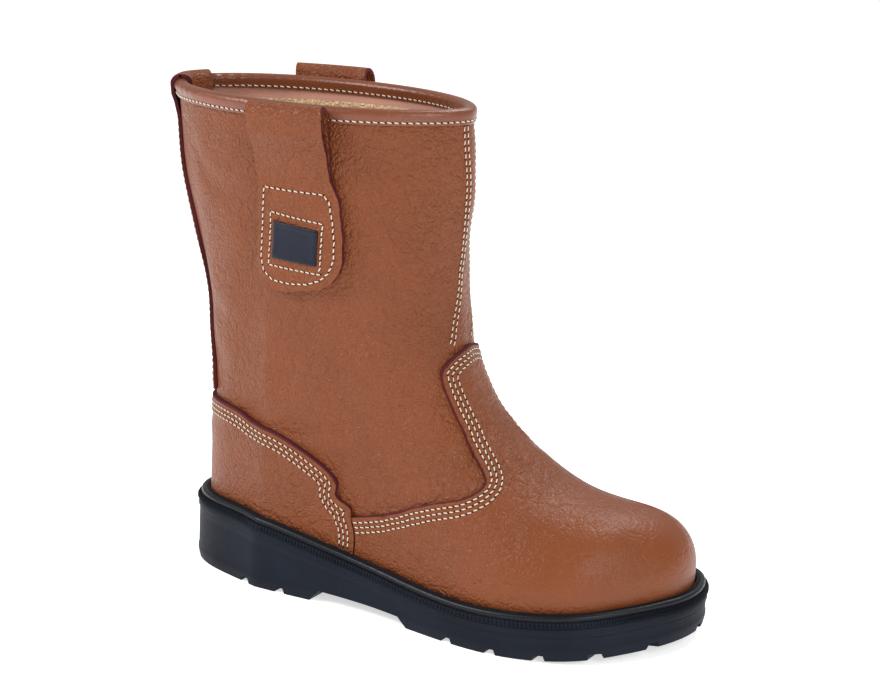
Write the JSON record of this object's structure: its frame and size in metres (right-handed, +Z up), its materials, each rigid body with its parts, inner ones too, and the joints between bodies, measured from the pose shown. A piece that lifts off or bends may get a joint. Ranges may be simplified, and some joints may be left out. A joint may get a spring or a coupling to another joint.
{
  "type": "rigger boot",
  "caption": "Right pull-on work boot with a wide shaft, raw-edged overlays, pull loops and a moulded lugged sole",
  "frame": {"origin": "on the floor under the heel, on the middle line of the boot", "axes": "+X towards the toe, +Y towards the inner side of the foot, +Z up"},
  "size_m": [0.3212, 0.1235, 0.2723],
  "materials": {
    "sole_rubber": "satin",
    "insole_board": "matte",
    "tan_leather": "satin",
    "binding_leather": "gloss",
    "badge_rubber": "satin"
  },
  "bodies": {
    "root": {"outsole": "sole_rubber", "welt": "sole_rubber", "insole": "insole_board", "upper": "tan_leather", "vamp": "tan_leather", "counter": "tan_leather", "back_strip": "tan_leather", "collar_binding": "binding_leather", "pull_loop_lateral": "tan_leather", "pull_loop_medial": "tan_leather", "badge": "badge_rubber"}
  },
  "joints": []
}
